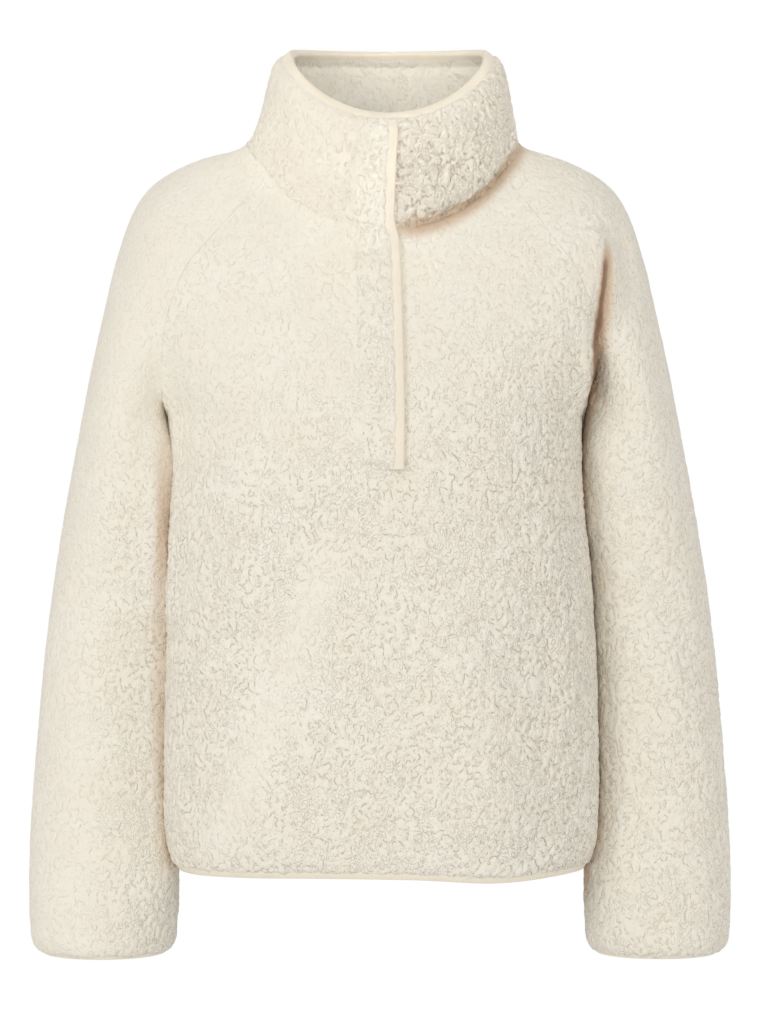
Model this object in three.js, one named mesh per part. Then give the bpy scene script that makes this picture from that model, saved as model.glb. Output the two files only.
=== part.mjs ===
// A sherpa fleece pullover with raglan sleeves, a stand collar, a half placket and taped edges.
// It is empty and filled out as when worn. Each piece is a wall of cloth in its sewn shape.
// Millimetres, +Z up. The front faces -Y and the wearer's left is +X.
// The origin is the middle of the neck, level with the points where the shoulders meet the collar.
import * as THREE from "three";

// Cloth
const FLEECE_WALL = 6; // knitted back and standing pile of the body and sleeves
const COLLAR_WALL = 5; // each of the collar's two layers
const BOUND_WALL = 2; // fleece pressed flat under a tape
const STRIP_WALL = 3.6; // the placket's strip
const SEAM_GAP = 0.3;
const POINT_STEP = 0.01; // points closer than this are one place
const SLIT_END = 0.2; // below this a rim doubles back on itself, as at the end of a slit

// Tape that binds the raw edges
const TAPE_WALL = 1.2;
const TAPE_ROOM = 0.4; // clear space between a tape and the edge inside it
const TAPE_CORNER = 0.85; // how far the fold of a tape is rounded off
const HEM_TAPE_DEPTH = 7;
const CUFF_TAPE_DEPTH = 6;
const COLLAR_TAPE_DEPTH = 9;
const PLACKET_TAPE_DEPTH = 10.5;

// Body, one row for each level from the hem up to the underarm
// half: half the width, seamY: the side seam, front and back: the middle of each panel
// square: how boxy the level is, where 2 is an ellipse
const BODY = [
  { z: -628, half: 176, seamY: -10, front: -110, back: 102, square: 2.3 },
  { z: -618, half: 181, seamY: -11, front: -114, back: 106, square: 2.3 },
  { z: -602, half: 186.5, seamY: -13, front: -119, back: 111, square: 2.3 },
  { z: -575, half: 188.5, seamY: -15, front: -123, back: 114, square: 2.3 },
  { z: -530, half: 188.5, seamY: -16, front: -125, back: 113, square: 2.3 },
  { z: -440, half: 186, seamY: -16, front: -127, back: 110, square: 2.3 },
  { z: -350, half: 181, seamY: -12, front: -129, back: 109, square: 2.3 },
  { z: -283, half: 179, seamY: -2, front: -129, back: 111, square: 2.35 },
  { z: -258, half: 180, seamY: 4, front: -128, back: 112, square: 2.4 },
  { z: -235, half: 183, seamY: 18, front: -127, back: 113, square: 2.4 },
];
const BODY_LEVELS = [-628, -618, -602, -575, -540, -500, -455, -410, -365, -322, -283, -258, -235];

// Middle of the front and of the back above the underarm, by share of the way up the raglan seam
// turn: degrees through which the panel bends from its middle to its edge
const FRONT_RISE = [
  { share: 0, y: -127, z: -235, turn: 90 },
  { share: 0.25, y: -124, z: -203, turn: 84 },
  { share: 0.5, y: -117, z: -165, turn: 74 },
  { share: 0.75, y: -107, z: -122, turn: 64 },
  { share: 1, y: -93, z: -78, turn: 56 },
];
const BACK_RISE = [
  { share: 0, y: 113, z: -235, turn: 90 },
  { share: 0.25, y: 115, z: -186, turn: 82 },
  { share: 0.5, y: 110, z: -126, turn: 72 },
  { share: 0.75, y: 94, z: -64, turn: 62 },
  { share: 1, y: 66, z: -8, turn: 50 },
];
const RISE_SQUARE = { low: 2.4, high: 2 };

// Sleeve below the underarm, one row for each level from the cuff up
// outer and inner: its two sides seen from the front, y: its middle, depth: half its size from front to back
const SLEEVE = [
  { z: -705, outer: 294, inner: 191, y: 8, depth: 46 },
  { z: -696, outer: 301.5, inner: 185, y: 8, depth: 50.5 },
  { z: -681, outer: 305.5, inner: 181.5, y: 9, depth: 53.5 },
  { z: -650, outer: 306.5, inner: 180.5, y: 11, depth: 55 },
  { z: -616, outer: 306.5, inner: 182, y: 15, depth: 57 },
  { z: -580, outer: 305, inner: 184.5, y: 19, depth: 59 },
  { z: -530, outer: 301.5, inner: 185, y: 22, depth: 62 },
  { z: -440, outer: 293.5, inner: 183, y: 24, depth: 67 },
  { z: -350, outer: 281.5, inner: 180.5, y: 25, depth: 73 },
  { z: -283, outer: 269.5, inner: 180, y: 23, depth: 78 },
  { z: -258, outer: 264.5, inner: 181, y: 20.5, depth: 79.5 },
  { z: -235, outer: 260, inner: 183, y: 18, depth: 80 },
];
const SLEEVE_LEVELS = [-705, -696, -681, -650, -616, -580, -535, -488, -440, -392, -345, -302, -265, -235];

// Sleeve above the underarm, by share of the way up the raglan seam
// x, y, z: midway between its front and back seams, depth and wrap: half size and degrees of its arc
// skewX, skewZ: how far the back seam lies from the front one
const CAP = [
  { share: 0, x: 183, y: 18, z: -235, depth: 80, wrap: 180, skewX: 0, skewZ: 0 },
  { share: 0.2, x: 186, y: 12, z: -221, depth: 80, wrap: 156, skewX: 0, skewZ: -2 },
  { share: 0.4, x: 186, y: 8, z: -183, depth: 80, wrap: 122, skewX: 0, skewZ: -3 },
  { share: 0.55, x: 180, y: 6, z: -148, depth: 86, wrap: 100, skewX: 0, skewZ: -3 },
  { share: 0.7, x: 165, y: 5, z: -110, depth: 96, wrap: 79, skewX: -1, skewZ: 0 },
  { share: 0.8, x: 147, y: 4, z: -86, depth: 98, wrap: 69, skewX: -3, skewZ: 5 },
  { share: 0.9, x: 121, y: 4, z: -51, depth: 86, wrap: 60, skewX: -8, skewZ: 14 },
  { share: 1, x: 91, y: 3, z: -15, depth: 61, wrap: 52, skewX: -14, skewZ: 22 },
];
// The sleeve's top line over the shoulder, by the same share
const SHOULDER = [
  { share: 0, x: 260, y: 18, z: -235 },
  { share: 0.2, x: 251, y: 16, z: -190 },
  { share: 0.4, x: 240, y: 12, z: -142 },
  { share: 0.55, x: 229, y: 8, z: -97 },
  { share: 0.7, x: 213.5, y: 4, z: -54 },
  { share: 0.8, x: 195, y: 2, z: -30 },
  { share: 0.9, x: 160, y: 0, z: -11 },
  { share: 1, x: 112.5, y: -2, z: 2 },
];
const RAGLAN_SHARES = [0.1, 0.2, 0.3, 0.4, 0.5, 0.6, 0.7, 0.79, 0.86, 0.93, 1];

// Collar: its top edge, and how far the band swells out of the straight line between its two edges
const NECK = { x: 4.5, y: -5, half: 112.5, front: 88, back: 71 };
const COLLAR_TOP = {
  x: 6.5,
  y: 0,
  half: 90,
  front: 74,
  back: 74,
  sideZ: 83,
  frontZ: 22,
  backZ: 96,
  frontBend: 1.35, // above 1 the edge stays high at the sides, below 1 it soon reaches the middle's height
  backBend: 0.5,
};
const COLLAR_ROLL = [
  { share: 0, swell: 0 },
  { share: 0.18, swell: 4.5 },
  { share: 0.5, swell: 7 },
  { share: 0.75, swell: 8.5 },
  { share: 0.9, swell: 4.5 },
  { share: 1, swell: 0 },
];
// The collar slumps on the wearer's left front: angles round the neck, share of its height, roll out and down
const SLUMP = {
  start: -88,
  full: -66,
  fading: -50,
  end: -12,
  share: 0.3,
  spread: 0.2,
  foot: 0.15, // share of the height over which it starts
  out: 6,
  down: 5,
};
const COLLAR_SHARES = [0, 0.08, 0.25, 0.5, 0.75, 0.9, 1];
const FACING_FROM = 1; // the facing starts one row above the neck seam
// The neck sits a little to the wearer's left; near and far: where that is full and where it has died away
const NECK_SHIFT = { by: 4.5, fromZ: -250, toZ: 0, near: 105, far: 165 };
// How much further out each sleeve hangs than its table says; fade: how late that dies away towards the neck
const SPREAD = { left: 0.5, right: 2.5, fade: 4 };

// Placket: its strip runs from below the slit up to the collar's tape
// x: across the strip, lift: clear height over the panel below
const STRIP = [
  { x: -26, lift: 0.4 },
  { x: -13, lift: 0.6 },
  { x: -0.5, lift: 2.1 },
  { x: 2.5, lift: 2.5 },
  { x: 14, lift: 2.5 },
];
// How far the strip leans to the wearer's left, by the height of the front's middle
const STRIP_LEAN = [
  { z: -283, by: 3.7 },
  { z: -235, by: 4.2 },
  { z: -190, by: 2.8 },
  { z: -140, by: 0.4 },
  { z: -100, by: -2.4 },
  { z: -78, by: -5.5 },
];
const SLIT_LEVEL = -258;
const STRIP_LEVEL = -283;
const STRIP_TOP_SHARE = 0.88;

// Soft folds: a ridge or trough round a line, one row for each
// from and to: its ends, width: how far it spreads, push: how far it moves the cloth at its middle
const FOLDS = [
  { from: [196, -70, -96], to: [172, -62, -225], width: 15, push: [2, -5, 0] },
  { from: [209, -60, -88], to: [190, -46, -212], width: 15, push: [-2, 13, 0] },
  { from: [-184, -16, -170], to: [-183, -20, -390], width: 31, push: [-3, -22, 0] },
  { from: [-45, -122, -330], to: [-60, -120, -470], width: 26, push: [0, 4, 0] },
  { from: [62, -120, -420], to: [95, -108, -570], width: 30, push: [0, -5, 0] },
  { from: [128, -88, -440], to: [140, -78, -585], width: 24, push: [-2, 5, 0] },
  { from: [-120, -95, -480], to: [-105, -100, -600], width: 28, push: [0, -4, 0] },
  { from: [244, -48, -400], to: [282, -30, -455], width: 22, push: [0, 6, 0] },
  { from: [-246, -48, -380], to: [-280, -36, -430], width: 24, push: [0, 5, 0] },
  { from: [-262, 60, -370], to: [-220, 66, -430], width: 24, push: [0, -6, 0] },
  { from: [262, 62, -360], to: [222, 66, -420], width: 24, push: [0, -6, 0] },
  { from: [-60, 108, -300], to: [-40, 108, -520], width: 34, push: [0, -6, 0] },
  { from: [75, 106, -260], to: [60, 108, -480], width: 34, push: [0, -5, 0] },
  { from: [20, 112, -430], to: [5, 110, -590], width: 30, push: [0, 5, 0] },
];
const HEM_WAVE = [
  { x: -160, drop: 1 },
  { x: -60, drop: -1 },
  { x: 30, drop: 0 },
  { x: 100, drop: 4 },
  { x: 165, drop: 0 },
];
const HEM_WAVE_REACH = { fromZ: -520, toZ: -628, fullY: -60 };

// How many cells each piece has across
const FRONT_CELLS = 16;
const BACK_CELLS = 14;
const SLEEVE_CELLS = 18;

const FLEECE = new THREE.MeshStandardMaterial({ color: 0xe9e2d2, roughness: 0.95, metalness: 0 });
const TAPE = new THREE.MeshStandardMaterial({ color: 0xf1e6d2, roughness: 0.7, metalness: 0 });

const radians = THREE.MathUtils.degToRad;
const vector = (x, y, z) => new THREE.Vector3(x, y, z);

// The row of a table at a value of one column, passing smoothly through the rows listed.
function rowAt(table, column, value) {
  let k = 0;
  while (k < table.length - 2 && table[k + 1][column] < value) k += 1;
  const a = table[k];
  const b = table[k + 1];
  const before = table[Math.max(k - 1, 0)];
  const after = table[Math.min(k + 2, table.length - 1)];
  const span = b[column] - a[column];
  const t = THREE.MathUtils.clamp((value - a[column]) / span, 0, 1);
  const row = {};
  for (const key of Object.keys(a)) {
    const leave = ((b[key] - before[key]) / (b[column] - before[column])) * span;
    const arrive = ((after[key] - a[key]) / (after[column] - a[column])) * span;
    const step = b[key] - a[key];
    const square = 3 * step - 2 * leave - arrive;
    const cube = leave + arrive - 2 * step;
    row[key] = a[key] + t * (leave + t * (square + t * cube));
  }
  return row;
}

// Numbers spread evenly from -1 to 1, one more than the cells between them.
function spread(cells) {
  return Array.from({ length: cells + 1 }, (_, i) => (2 * i) / cells - 1);
}

// Distance from a point to the stretch between two others.
function distanceToStretch(point, from, to) {
  const line = new THREE.Line3(vector(...from), vector(...to));
  return line.closestPointToPoint(point, true, vector(0, 0, 0)).distanceTo(point);
}

// Moves a point of the plain form by the folds, the hem's wave and the lean of the neck.
function draped(point) {
  const moved = point.clone();
  for (const fold of FOLDS) {
    const near = distanceToStretch(point, fold.from, fold.to) / fold.width;
    moved.addScaledVector(vector(...fold.push), Math.exp(-near * near));
  }
  if (point.y < 0) {
    const { fromZ, toZ, fullY } = HEM_WAVE_REACH;
    const wave = rowAt(HEM_WAVE, "x", point.x).drop;
    const ahead = Math.min(1, point.y / fullY);
    moved.z -= wave * ahead * THREE.MathUtils.smoothstep(-point.z, -fromZ, -toZ);
  }
  const nearNeck = 1 - THREE.MathUtils.smoothstep(Math.abs(point.x), NECK_SHIFT.near, NECK_SHIFT.far);
  moved.x += NECK_SHIFT.by * nearNeck * THREE.MathUtils.smoothstep(point.z, NECK_SHIFT.fromZ, NECK_SHIFT.toZ);
  return moved;
}

// A panel's section: how far it has bowed from its edge (0) to its middle (1), at a share of its half width.
function bow(share, turn, square) {
  const sine = Math.pow(Math.abs(share), square / 2) * Math.sin(turn);
  const bowed = (Math.sqrt(Math.max(0, 1 - sine * sine)) - Math.cos(turn)) / (1 - Math.cos(turn));
  return Math.pow(Math.max(0, bowed), 2 / square);
}

// Shares of the half width that divide a panel's section into even steps.
function sectionShares(cells, turn, square) {
  return spread(cells).map((u) => {
    const share = Math.sin(turn * Math.abs(u)) / Math.sin(turn);
    return Math.sign(u) * Math.pow(share, 2 / square);
  });
}

// The ends of the raglan seams at a share of the way up, on the wearer's left: the front one or the back one.
function raglanEnd(share, end) {
  const cap = rowAt(CAP, "share", share);
  const half = cap.depth * Math.sin(radians(cap.wrap));
  const across = vector(cap.skewX / 2, half, cap.skewZ / 2);
  return vector(cap.x, cap.y, cap.z).addScaledVector(across, end === "front" ? -1 : 1);
}

// Sections of the front or back panel from hem to neck, with each one's edge, middle, turn and squareness.
function panelSections(side) {
  const rise = side === "front" ? FRONT_RISE : BACK_RISE;
  const low = BODY_LEVELS.map((z) => {
    const level = rowAt(BODY, "z", z);
    return {
      edge: vector(level.half, level.seamY, z),
      middle: vector(0, level[side], z),
      turn: Math.PI / 2,
      square: level.square,
    };
  });
  const high = RAGLAN_SHARES.map((share) => {
    const row = rowAt(rise, "share", share);
    return {
      edge: raglanEnd(share, side),
      middle: vector(0, row.y, row.z),
      turn: radians(row.turn),
      square: THREE.MathUtils.lerp(RISE_SQUARE.low, RISE_SQUARE.high, share),
    };
  });
  return [...low, ...high];
}

// A point of a panel's section at a share of its half width.
function sectionPoint(section, share) {
  const bowed = bow(share, section.turn, section.square);
  return draped(
    vector(
      section.edge.x * share,
      THREE.MathUtils.lerp(section.edge.y, section.middle.y, bowed),
      THREE.MathUtils.lerp(section.edge.z, section.middle.z, bowed),
    ),
  );
}

function panelRows(side, cells) {
  const way = side === "front" ? 1 : -1; // columns run so that the cloth's right side faces out
  return panelSections(side).map((section) =>
    sectionShares(cells, section.turn, section.square).map((share) => sectionPoint(section, way * share)),
  );
}

// A sleeve's rows from the cuff to the neck, each from the front of its seam round the outside to the back.
function sleeveRows(hand) {
  const around = spread(SLEEVE_CELLS);
  const low = SLEEVE_LEVELS.map((z) => {
    const ring = rowAt(SLEEVE, "z", z);
    const outer = ring.outer + SPREAD[hand];
    const middle = (outer + ring.inner) / 2;
    const half = (outer - ring.inner) / 2;
    return around.map((u) => {
      const angle = Math.PI * u;
      return vector(middle + half * Math.cos(angle), ring.y + ring.depth * Math.sin(angle), z);
    });
  });
  const high = RAGLAN_SHARES.map((share) => {
    const cap = rowAt(CAP, "share", share);
    const top = rowAt(SHOULDER, "share", share);
    const wrap = radians(cap.wrap);
    const seam = vector(cap.x, cap.y, cap.z);
    const rise = vector(top.x + SPREAD[hand] * (1 - share ** SPREAD.fade), top.y, top.z).sub(seam);
    const half = cap.depth * Math.sin(wrap);
    const across = vector(cap.skewX / 2, half, cap.skewZ / 2).divideScalar(Math.sin(wrap));
    return around.map((u) => {
      const up = (Math.cos(wrap * u) - Math.cos(wrap)) / (1 - Math.cos(wrap));
      return seam.clone().addScaledVector(across, Math.sin(wrap * u)).addScaledVector(rise, up);
    });
  });
  const rows = [...low, ...high];
  if (hand === "left") return rows.map((row) => row.map(draped));
  return rows.map((row) => row.map((p) => draped(vector(-p.x, p.y, p.z))).reverse());
}

// The angle of a point round the neck, with the front at -90 degrees.
function neckAngle(point) {
  const y = point.y - NECK.y;
  return Math.atan2(y / (y < 0 ? NECK.front : NECK.back), (point.x - NECK.x) / NECK.half);
}

// A point of the collar above a point of the neck seam, at a share of the collar's height.
function collarPoint(base, share) {
  const angle = neckAngle(base);
  const front = Math.sin(angle) < 0;
  const bend = Math.pow(Math.abs(Math.sin(angle)), front ? COLLAR_TOP.frontBend : COLLAR_TOP.backBend);
  const top = vector(
    COLLAR_TOP.x + COLLAR_TOP.half * Math.cos(angle),
    COLLAR_TOP.y + (front ? COLLAR_TOP.front : COLLAR_TOP.back) * Math.sin(angle),
    THREE.MathUtils.lerp(COLLAR_TOP.sideZ, front ? COLLAR_TOP.frontZ : COLLAR_TOP.backZ, bend),
  );
  const turn = THREE.MathUtils.radToDeg(angle);
  const { smoothstep } = THREE.MathUtils;
  const starting = smoothstep(turn, SLUMP.start, SLUMP.full);
  const ending = 1 - smoothstep(turn, SLUMP.fading, SLUMP.end);
  const upward = Math.exp(-(((share - SLUMP.share) / SLUMP.spread) ** 2)) * smoothstep(share, 0, SLUMP.foot);
  const slump = starting * ending * upward;
  const swell = rowAt(COLLAR_ROLL, "share", share).swell + SLUMP.out * slump;
  const roll = vector(swell * Math.cos(angle), swell * Math.sin(angle), -SLUMP.down * slump);
  return base.clone().lerp(top, share).add(roll);
}

// A grid of points as a patch of four-sided cells. A slit parts the cells beside one column, from one row up.
function gridPatch(rows, slit) {
  const points = rows.flat();
  const columns = rows[0].length;
  const index = (i, j) => i * columns + j;
  const beyond = new Map();
  if (slit) {
    for (let i = slit.row + 1; i < rows.length; i += 1) {
      beyond.set(index(i, slit.column), points.length);
      points.push(rows[i][slit.column].clone());
    }
  }
  const cells = [];
  for (let i = 0; i + 1 < rows.length; i += 1) {
    for (let j = 0; j + 1 < columns; j += 1) {
      const corners = [index(i, j), index(i, j + 1), index(i + 1, j + 1), index(i + 1, j)];
      const pastSlit = slit && j === slit.column;
      cells.push(pastSlit ? corners.map((k) => beyond.get(k) ?? k) : corners);
    }
  }
  const patch = { points, cells, columns, rowCount: rows.length };
  patch.facing = cellNormals(patch);
  patch.normals = patch.facing.slice();
  patch.rim = rimOf(patch);
  return patch;
}

// The direction that each point of a patch faces, from the cells around it.
function cellNormals({ points, cells }) {
  const normals = points.map(() => vector(0, 0, 0));
  for (const [a, b, c, d] of cells) {
    const facing = points[c].clone().sub(points[a]).cross(points[d].clone().sub(points[b]));
    for (const k of [a, b, c, d]) normals[k].add(facing);
  }
  return normals.map((n) => n.normalize());
}

// The edges that belong to one cell only, each as its two points in the cell's own order.
function rimOf({ cells }) {
  const edges = cells.flatMap((cell) => cell.map((a, k) => [a, cell[(k + 1) % 4]]));
  const seen = new Set(edges.map(([a, b]) => `${a}>${b}`));
  return edges.filter(([a, b]) => !seen.has(`${b}>${a}`));
}

// Coordinates in steps fine enough to tell two points of a piece apart.
const inSteps = (length) => Math.round(length / POINT_STEP);

// Gives rim points that are sewn together one shared direction, so that their walls meet along a mitre.
function sewTogether(patches) {
  const key = (p) => [p.x, p.y, p.z].map(inSteps).join(" ");
  const shared = new Map();
  const rims = patches.flatMap((patch) => [...new Set(patch.rim.flat())].map((k) => ({ patch, k })));
  for (const { patch, k } of rims) {
    const place = key(patch.points[k]);
    shared.set(place, (shared.get(place) ?? vector(0, 0, 0)).add(patch.normals[k]));
  }
  for (const { patch, k } of rims) patch.normals[k] = shared.get(key(patch.points[k])).clone().normalize();
}

// A patch's points with its rim drawn in by half the seam gap.
function drawnIn({ points, facing, rim }) {
  const inward = new Map();
  for (const [a, b] of rim) {
    const along = points[b].clone().sub(points[a]);
    for (const k of [a, b]) {
      const into = facing[k].clone().cross(along).normalize();
      inward.set(k, [...(inward.get(k) ?? []), into]);
    }
  }
  return points.map((point, k) => {
    const [one, two] = inward.get(k) ?? [];
    if (!two) return point.clone();
    const open = 1 + one.dot(two);
    if (open < SLIT_END) return point.clone();
    return point.clone().addScaledVector(one.clone().add(two), SEAM_GAP / 2 / open);
  });
}

function solidGeometry(points, triangles) {
  const geometry = new THREE.BufferGeometry().setFromPoints(points);
  geometry.setIndex(triangles.flat());
  return geometry;
}

// The patch as a closed wall: its own points outside and, each point's thickness further in, a plain inside.
function wallGeometry(patch, thickness) {
  const outside = drawnIn(patch);
  const inside = outside.map((p, k) => p.clone().addScaledVector(patch.normals[k], -thickness(k, patch)));
  const n = outside.length;
  const triangles = [];
  for (const [a, b, c, d] of patch.cells) {
    triangles.push([a, b, c], [a, c, d]);
    triangles.push([a + n, c + n, b + n], [a + n, d + n, c + n]);
  }
  for (const [a, b] of patch.rim) {
    if (isBelow(patch.points[a], patch.points[b])) triangles.push([a, b + n, b], [a, a + n, b + n]);
    else triangles.push([b, a, a + n], [b, a + n, b + n]);
  }
  return solidGeometry([...outside, ...inside], triangles);
}

// Which of two points comes first, so that the walls on both sides of a seam are divided alike.
function isBelow(a, b) {
  const order = ["z", "y", "x"].map((axis) => inSteps(a[axis] - b[axis])).find((steps) => steps !== 0);
  return order < 0;
}

// Thickness of cloth that is pressed flat at one end of its rows and full a few rows on.
function pressedAtStart(full) {
  const steps = [BOUND_WALL, BOUND_WALL, (BOUND_WALL + full) / 2];
  return (k, patch) => steps[Math.floor(k / patch.columns)] ?? full;
}

function pressedAtEnd(full) {
  const steps = [BOUND_WALL, BOUND_WALL, (BOUND_WALL + full) / 2];
  return (k, patch) => steps[patch.rowCount - 1 - Math.floor(k / patch.columns)] ?? full;
}

// A patch moved along its own directions.
function movedOut(patch, distance) {
  const points = patch.points.map((p, k) => p.clone().addScaledVector(patch.normals[k], distance(k, patch)));
  return { ...patch, points };
}

// The edge that a tape binds: where each point along it is, which way it faces and which way the cloth ends.
function edgeStations(patch, outer, inner) {
  return outer.map((k, i) => {
    const facing = patch.normals[k];
    const ends = patch.points[k].clone().sub(patch.points[inner[i]]);
    ends.addScaledVector(facing, -ends.dot(facing)).normalize();
    return { place: patch.points[k], facing, ends };
  });
}

// A tape folded over an edge of a given thickness: its section is a channel, swept along the edge's points.
function tapeGeometry(stations, edgeWall, depth, closed) {
  const near = TAPE_ROOM;
  const far = TAPE_ROOM + TAPE_WALL;
  const section = [
    [near, -depth],
    [far, -depth],
    [far, near],
    [far - TAPE_CORNER, far],
    [TAPE_CORNER - edgeWall - far, far],
    [-edgeWall - far, near],
    [-edgeWall - far, -depth],
    [-edgeWall - near, -depth],
    [-edgeWall - near, near],
    [near, near],
  ];
  const points = stations.flatMap(({ place, facing, ends }) =>
    section.map(([out, past]) => place.clone().addScaledVector(facing, out).addScaledVector(ends, past)),
  );
  const round = section.length;
  const triangles = [];
  const steps = closed ? stations.length : stations.length - 1;
  for (let i = 0; i < steps; i += 1) {
    const next = (i + 1) % stations.length;
    for (let s = 0; s < round; s += 1) {
      const t = (s + 1) % round;
      const [a, b, c, d] = [i * round + s, i * round + t, next * round + t, next * round + s];
      triangles.push([a, b, c], [a, c, d]);
    }
  }
  if (!closed) {
    const last = (stations.length - 1) * round;
    const cap = THREE.ShapeUtils.triangulateShape(section.map(([x, y]) => new THREE.Vector2(x, y)), []);
    for (const [a, b, c] of cap) {
      triangles.push([a, c, b], [a + last, b + last, c + last]);
    }
  }
  return facingOut(solidGeometry(points, triangles));
}

// Turns a closed geometry's faces round if they face inwards.
function facingOut(geometry) {
  const p = geometry.getAttribute("position");
  const corner = (k) => new THREE.Vector3().fromBufferAttribute(p, k);
  const index = Array.from(geometry.index.array);
  let volume = 0;
  for (let i = 0; i < index.length; i += 3) {
    volume += corner(index[i]).dot(corner(index[i + 1]).cross(corner(index[i + 2])));
  }
  if (volume < 0) {
    for (let i = 0; i < index.length; i += 3) [index[i], index[i + 1]] = [index[i + 1], index[i]];
    geometry.setIndex(index);
  }
  return geometry;
}

function piece(name, geometry, material) {
  geometry.computeVertexNormals();
  const mesh = new THREE.Mesh(geometry, material);
  mesh.name = name;
  return mesh;
}

// Panels and sleeves
const frontMiddle = FRONT_CELLS / 2;
const frontRows = panelRows("front", FRONT_CELLS);
const backRows = panelRows("back", BACK_CELLS);
const leftRows = sleeveRows("left");
const rightRows = sleeveRows("right");
const front = gridPatch(frontRows, { column: frontMiddle, row: BODY_LEVELS.indexOf(SLIT_LEVEL) });
const back = gridPatch(backRows);
const leftSleeve = gridPatch(leftRows);
const rightSleeve = gridPatch(rightRows);

// Collar: it starts at the slit, goes round by the wearer's left and the back, and ends at the slit again
const neckSeam = [
  ...frontRows.at(-1).slice(frontMiddle),
  ...leftRows.at(-1).slice(1),
  ...backRows.at(-1).slice(1),
  ...rightRows.at(-1).slice(1),
  ...frontRows.at(-1).slice(1, frontMiddle + 1),
];
const collarRows = COLLAR_SHARES.map((share) => neckSeam.map((base) => collarPoint(base, share)));
const collar = gridPatch(collarRows);
sewTogether([front, back, leftSleeve, rightSleeve, collar]);

const collarThickness = pressedAtEnd(COLLAR_WALL);
const facingFull = gridPatch(collarRows.slice(FACING_FROM));
facingFull.normals = collar.normals.slice(FACING_FROM * collar.columns);
const facing = movedOut(facingFull, (k, patch) => -collarThickness(k, patch) - SEAM_GAP);

// Placket: a strip moved out from the front and the collar, with a tape over its free edge
const frontSections = panelSections("front");
const stripSections = frontSections.slice(BODY_LEVELS.indexOf(STRIP_LEVEL));
const stripLow = stripSections.map((section) => {
  const lean = rowAt(STRIP_LEAN, "z", section.middle.z).by;
  return STRIP.map(({ x }) => sectionPoint(section, (x + lean) / section.edge.x));
});
const sharesBelowTop = COLLAR_SHARES.filter((share) => share > 0 && share < STRIP_TOP_SHARE);
const stripShares = [...sharesBelowTop, STRIP_TOP_SHARE];
const stripHigh = stripShares.map((share) => stripLow.at(-1).map((base) => collarPoint(base, share)));
const stripBase = gridPatch([...stripLow, ...stripHigh]);
const freeColumn = STRIP.length - 1;
const stripThickness = (k, patch) => (k % patch.columns >= freeColumn - 1 ? BOUND_WALL : STRIP_WALL);
const strip = movedOut(stripBase, (k, patch) => STRIP[k % patch.columns].lift + stripThickness(k, patch));
const stripEdge = Array.from({ length: strip.rowCount }, (_, i) => i * strip.columns + freeColumn);

// Edges to bind
const along = (patch, row) => Array.from({ length: patch.columns }, (_, j) => row * patch.columns + j);
const hem = [front, back].flatMap((patch) => edgeStations(patch, along(patch, 0), along(patch, 1)).slice(1));
const cuff = (sleeve) => edgeStations(sleeve, along(sleeve, 0), along(sleeve, 1)).slice(1);
const [collarLast, collarNext] = [1, 2].map((back) => along(collar, collar.rowCount - back));
const collarEdge = edgeStations(collar, collarLast, collarNext);
const placketEdge = edgeStations(strip, stripEdge, stripEdge.map((k) => k - 1));
const collarEdgeWall = 2 * BOUND_WALL + SEAM_GAP;

const pullover = new THREE.Group();
pullover.name = "pullover";
pullover.add(
  piece("front_panel", wallGeometry(front, pressedAtStart(FLEECE_WALL)), FLEECE),
  piece("back_panel", wallGeometry(back, pressedAtStart(FLEECE_WALL)), FLEECE),
  piece("sleeve_left", wallGeometry(leftSleeve, pressedAtStart(FLEECE_WALL)), FLEECE),
  piece("sleeve_right", wallGeometry(rightSleeve, pressedAtStart(FLEECE_WALL)), FLEECE),
  piece("collar", wallGeometry(collar, collarThickness), FLEECE),
  piece("collar_facing", wallGeometry(facing, pressedAtEnd(COLLAR_WALL)), FLEECE),
  piece("placket_strip", wallGeometry(strip, stripThickness), FLEECE),
  piece("placket_tape", tapeGeometry(placketEdge, BOUND_WALL, PLACKET_TAPE_DEPTH, false), TAPE),
  piece("collar_tape", tapeGeometry(collarEdge, collarEdgeWall, COLLAR_TAPE_DEPTH, false), TAPE),
  piece("hem_tape", tapeGeometry(hem, BOUND_WALL, HEM_TAPE_DEPTH, true), TAPE),
  piece("cuff_tape_left", tapeGeometry(cuff(leftSleeve), BOUND_WALL, CUFF_TAPE_DEPTH, true), TAPE),
  piece("cuff_tape_right", tapeGeometry(cuff(rightSleeve), BOUND_WALL, CUFF_TAPE_DEPTH, true), TAPE),
);

export default pullover;
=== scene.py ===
"""A cream sherpa fleece pullover: raglan panels with a curled pile, a stand collar, a half placket and
taped edges."""

import math

import bpy
import numpy as np
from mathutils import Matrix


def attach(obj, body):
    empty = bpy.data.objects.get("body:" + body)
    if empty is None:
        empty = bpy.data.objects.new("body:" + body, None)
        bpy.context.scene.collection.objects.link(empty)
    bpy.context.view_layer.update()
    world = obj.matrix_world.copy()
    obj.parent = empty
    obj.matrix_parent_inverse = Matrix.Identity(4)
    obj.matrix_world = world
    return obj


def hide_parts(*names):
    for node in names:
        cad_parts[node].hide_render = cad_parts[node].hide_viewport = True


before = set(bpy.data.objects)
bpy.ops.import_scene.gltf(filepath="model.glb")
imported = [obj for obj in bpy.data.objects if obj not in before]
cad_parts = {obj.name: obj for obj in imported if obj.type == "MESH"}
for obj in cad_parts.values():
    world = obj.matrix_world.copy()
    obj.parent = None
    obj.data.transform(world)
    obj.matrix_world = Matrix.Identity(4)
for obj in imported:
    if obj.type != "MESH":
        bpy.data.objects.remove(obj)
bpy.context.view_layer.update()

# Lengths are in millimetres until a mesh is made.
MM = 0.001
SEAM_GAP = 0.3
FLEECE_WALL = 6
SEAM_WALL = 2.2
COLLAR_WALL = 5
BOUND_WALL = 2
STRIP_WALL = 3.6
TAPE_WALL = 1.2
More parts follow.
